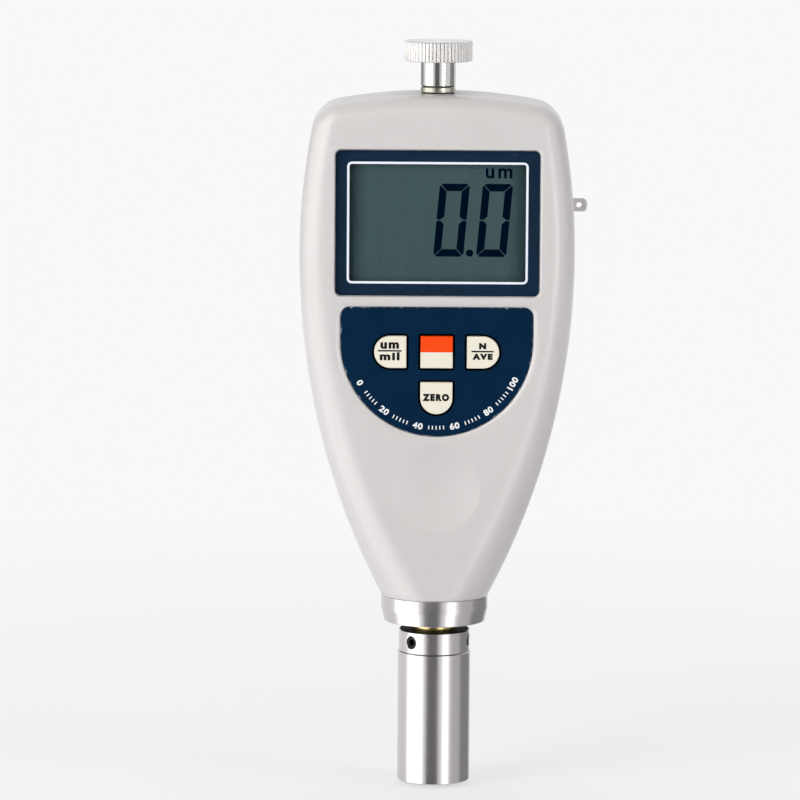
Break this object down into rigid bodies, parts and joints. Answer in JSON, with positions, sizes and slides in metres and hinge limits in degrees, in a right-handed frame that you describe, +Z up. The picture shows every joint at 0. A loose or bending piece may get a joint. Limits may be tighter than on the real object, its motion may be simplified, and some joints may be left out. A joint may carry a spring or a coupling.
{
  "type": "surface roughness tester",
  "caption": "Hand-held surface profile gauge with a shield-shaped case, display, keys, a turned probe with a sprung stylus in its flat foot, and a knurled stand screw on top.",
  "frame": {"origin": "centre of the probe's flat foot, in the plane of that face", "axes": "+Z up the probe axis from the foot to the stand screw; -Y out of the display; +X towards the lanyard eye"},
  "size_m": [0.0643, 0.028, 0.168],
  "materials": {
    "case_plastic": "light grey satin moulding",
    "clear_pane": "clear, polished",
    "dark_print": "navy, satin",
    "pale_print": "white print",
    "display_glass": "grey-green display",
    "display_ink": "near-black segments",
    "white_plastic": "matte",
    "grey_rubber": "matte",
    "key_cream": "satin",
    "key_orange": "satin, orange over cream",
    "black_plastic": "matte",
    "board_green": "solder resist",
    "plated_steel": "nickel plated",
    "turned_steel": "fine turned, bright",
    "dark_steel": "black oxide",
    "stem_brass": "turned",
    "bush_bronze": "turned",
    "coil_copper": "enamelled wire",
    "cell_label": "printed sleeve",
    "carbide": "ground",
    "lead_grey": "matte"
  },
  "bodies": {
    "case": {"front_shell": "case_plastic", "rear_shell": "case_plastic", "case_screws": "plated_steel", "lanyard_eye": "case_plastic", "display_window": "clear_pane", "window_mask": "dark_print", "window_line": "pale_print", "lcd_glass": "display_glass", "lcd_digits": "display_ink", "lcd_frame": "white_plastic", "zebra_strip": "grey_rubber", "keypad_panel": "dark_print", "key_switches": "black_plastic", "circuit_board": "board_green", "board_screws": "plated_steel", "processor_chip": "black_plastic", "lead_connector": "white_plastic", "probe_lead": "lead_grey", "battery_cells": "cell_label", "upper_contacts": "plated_steel", "lower_contacts": "plated_steel", "body_collar": "turned_steel", "probe_stem": "stem_brass", "clamp_ring": "turned_steel", "set_screws": "dark_steel", "probe_barrel": "turned_steel", "foot_bush": "bush_bronze", "stem_bush": "bush_bronze", "stylus_spring": "plated_steel", "coil_bobbin": "white_plastic", "coil_windings": "coil_copper", "transducer_sleeve": "plated_steel", "transducer_cap": "black_plastic", "top_bush": "turned_steel"},
    "stylus": {"stylus_rod": "turned_steel", "stylus_tip": "carbide", "stylus_stop": "turned_steel", "transducer_core": "dark_steel"},
    "unit_button": {"unit_key": "key_cream", "unit_plunger": "black_plastic"},
    "power_button": {"power_key": "key_orange", "power_plunger": "black_plastic"},
    "average_button": {"average_key": "key_cream", "average_plunger": "black_plastic"},
    "zero_button": {"zero_key": "key_cream", "zero_plunger": "black_plastic"},
    "cover": {"battery_cover": "case_plastic"},
    "washer": {"knob_washer": "grey_rubber"},
    "knob": {"stand_knob": "turned_steel"}
  },
  "joints": [
    {"name": "stylus_slide", "type": "slide", "parent": "case", "child": "stylus", "axis": [0, 0, -1], "range_m": [-0.0003, 0.0008], "stiffness_N_per_m": 150, "springref_m": 0.006, "deforming": ["stylus_spring"]},
    {"name": "unit_press", "type": "slide", "parent": "case", "child": "unit_button", "axis": [0, 1, 0], "range_m": [0, 0.00035], "stiffness_N_per_m": 1500, "springref_m": -0.0003},
    {"name": "power_press", "type": "slide", "parent": "case", "child": "power_button", "axis": [0, 1, 0], "range_m": [0, 0.00035], "stiffness_N_per_m": 1500, "springref_m": -0.0003},
    {"name": "average_press", "type": "slide", "parent": "case", "child": "average_button", "axis": [0, 1, 0], "range_m": [0, 0.00035], "stiffness_N_per_m": 1500, "springref_m": -0.0003},
    {"name": "zero_press", "type": "slide", "parent": "case", "child": "zero_button", "axis": [0, 1, 0], "range_m": [0, 0.00035], "stiffness_N_per_m": 1500, "springref_m": -0.0003},
    {"name": "cover_lift", "type": "slide", "parent": "case", "child": "cover", "axis": [0, 1, 0], "range_m": [0, 0.03]},
    {"name": "knob_rise", "type": "slide", "parent": "case", "child": "washer", "axis": [0, 0, 1], "range_m": [0, 0.00641]},
    {"name": "knob_turn", "type": "hinge", "parent": "washer", "child": "knob", "pos_m": [0, 0, 0.1601], "axis": [0, 0, 1], "range_deg": [0, 2880]}
  ],
  "couplings": [
    {"joint": "knob_rise", "follows": "knob_turn", "m_per_rad": 0.00012732}
  ]
}
